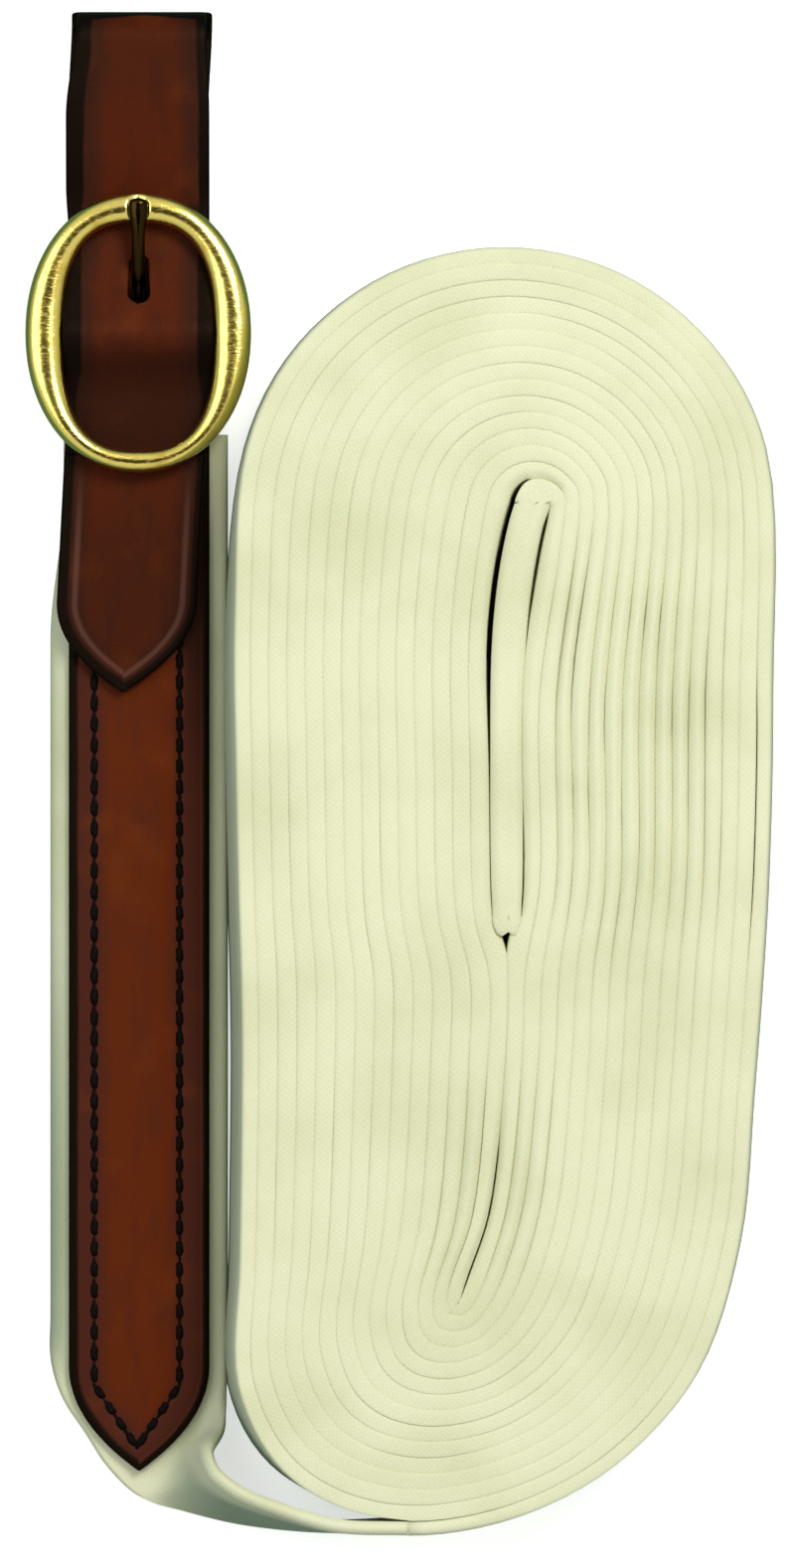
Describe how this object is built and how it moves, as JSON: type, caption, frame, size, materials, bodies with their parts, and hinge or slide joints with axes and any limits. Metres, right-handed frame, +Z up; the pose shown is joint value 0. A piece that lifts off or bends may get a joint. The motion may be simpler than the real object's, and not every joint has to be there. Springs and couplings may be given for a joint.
{
  "type": "lunge line",
  "caption": "Cotton web lunge line wound into a flat oval roll, its outer end sewn between two leather plies that form a buckled loop.",
  "frame": {"origin": "on the table, under the middle of the whole object's box", "axes": "+Z up from the table, +Y along the leather towards the folded loop, +X from the leather towards the roll"},
  "size_m": [0.1344, 0.2748, 0.0318],
  "materials": {
    "cotton_web": "natural undyed cotton web, tight flat weave",
    "tab_leather": "reddish brown bridle leather, black burnished edges",
    "strap_leather": "dark brown bridle leather, black burnished edges, creased",
    "dark_thread": "waxed dark brown thread",
    "brass": "polished cast brass"
  },
  "bodies": {
    "roll": {"web_roll": "cotton_web", "end_stitching": "dark_thread"},
    "loop_end": {"web_lead": "cotton_web", "front_tab": "tab_leather", "loop_strap": "strap_leather", "front_stitching": "dark_thread", "back_stitching": "dark_thread"},
    "billet": {"billet_end": "strap_leather"},
    "buckle": {"buckle_frame": "brass"},
    "tongue": {"buckle_tongue": "brass"}
  },
  "joints": [
    {"name": "lead_swing", "type": "hinge", "parent": "roll", "child": "loop_end", "pos_m": [0.00157, -0.13684, 0], "axis": [0, 0, 1], "range_deg": [0, 60]},
    {"name": "billet_flex", "type": "hinge", "parent": "loop_end", "child": "billet", "pos_m": [-0.04794, 0.04806, 0.0096], "axis": [-1, 0, 0], "range_deg": [0, 35]},
    {"name": "buckle_tilt", "type": "hinge", "parent": "loop_end", "child": "buckle", "pos_m": [-0.04688, 0.07896, 0.0066], "axis": [1, 0, 0], "range_deg": [0, 3]},
    {"name": "tongue_swing", "type": "hinge", "parent": "buckle", "child": "tongue", "pos_m": [-0.04688, 0.07896, 0.0066], "axis": [1, 0, 0], "range_deg": [0, 6]}
  ]
}
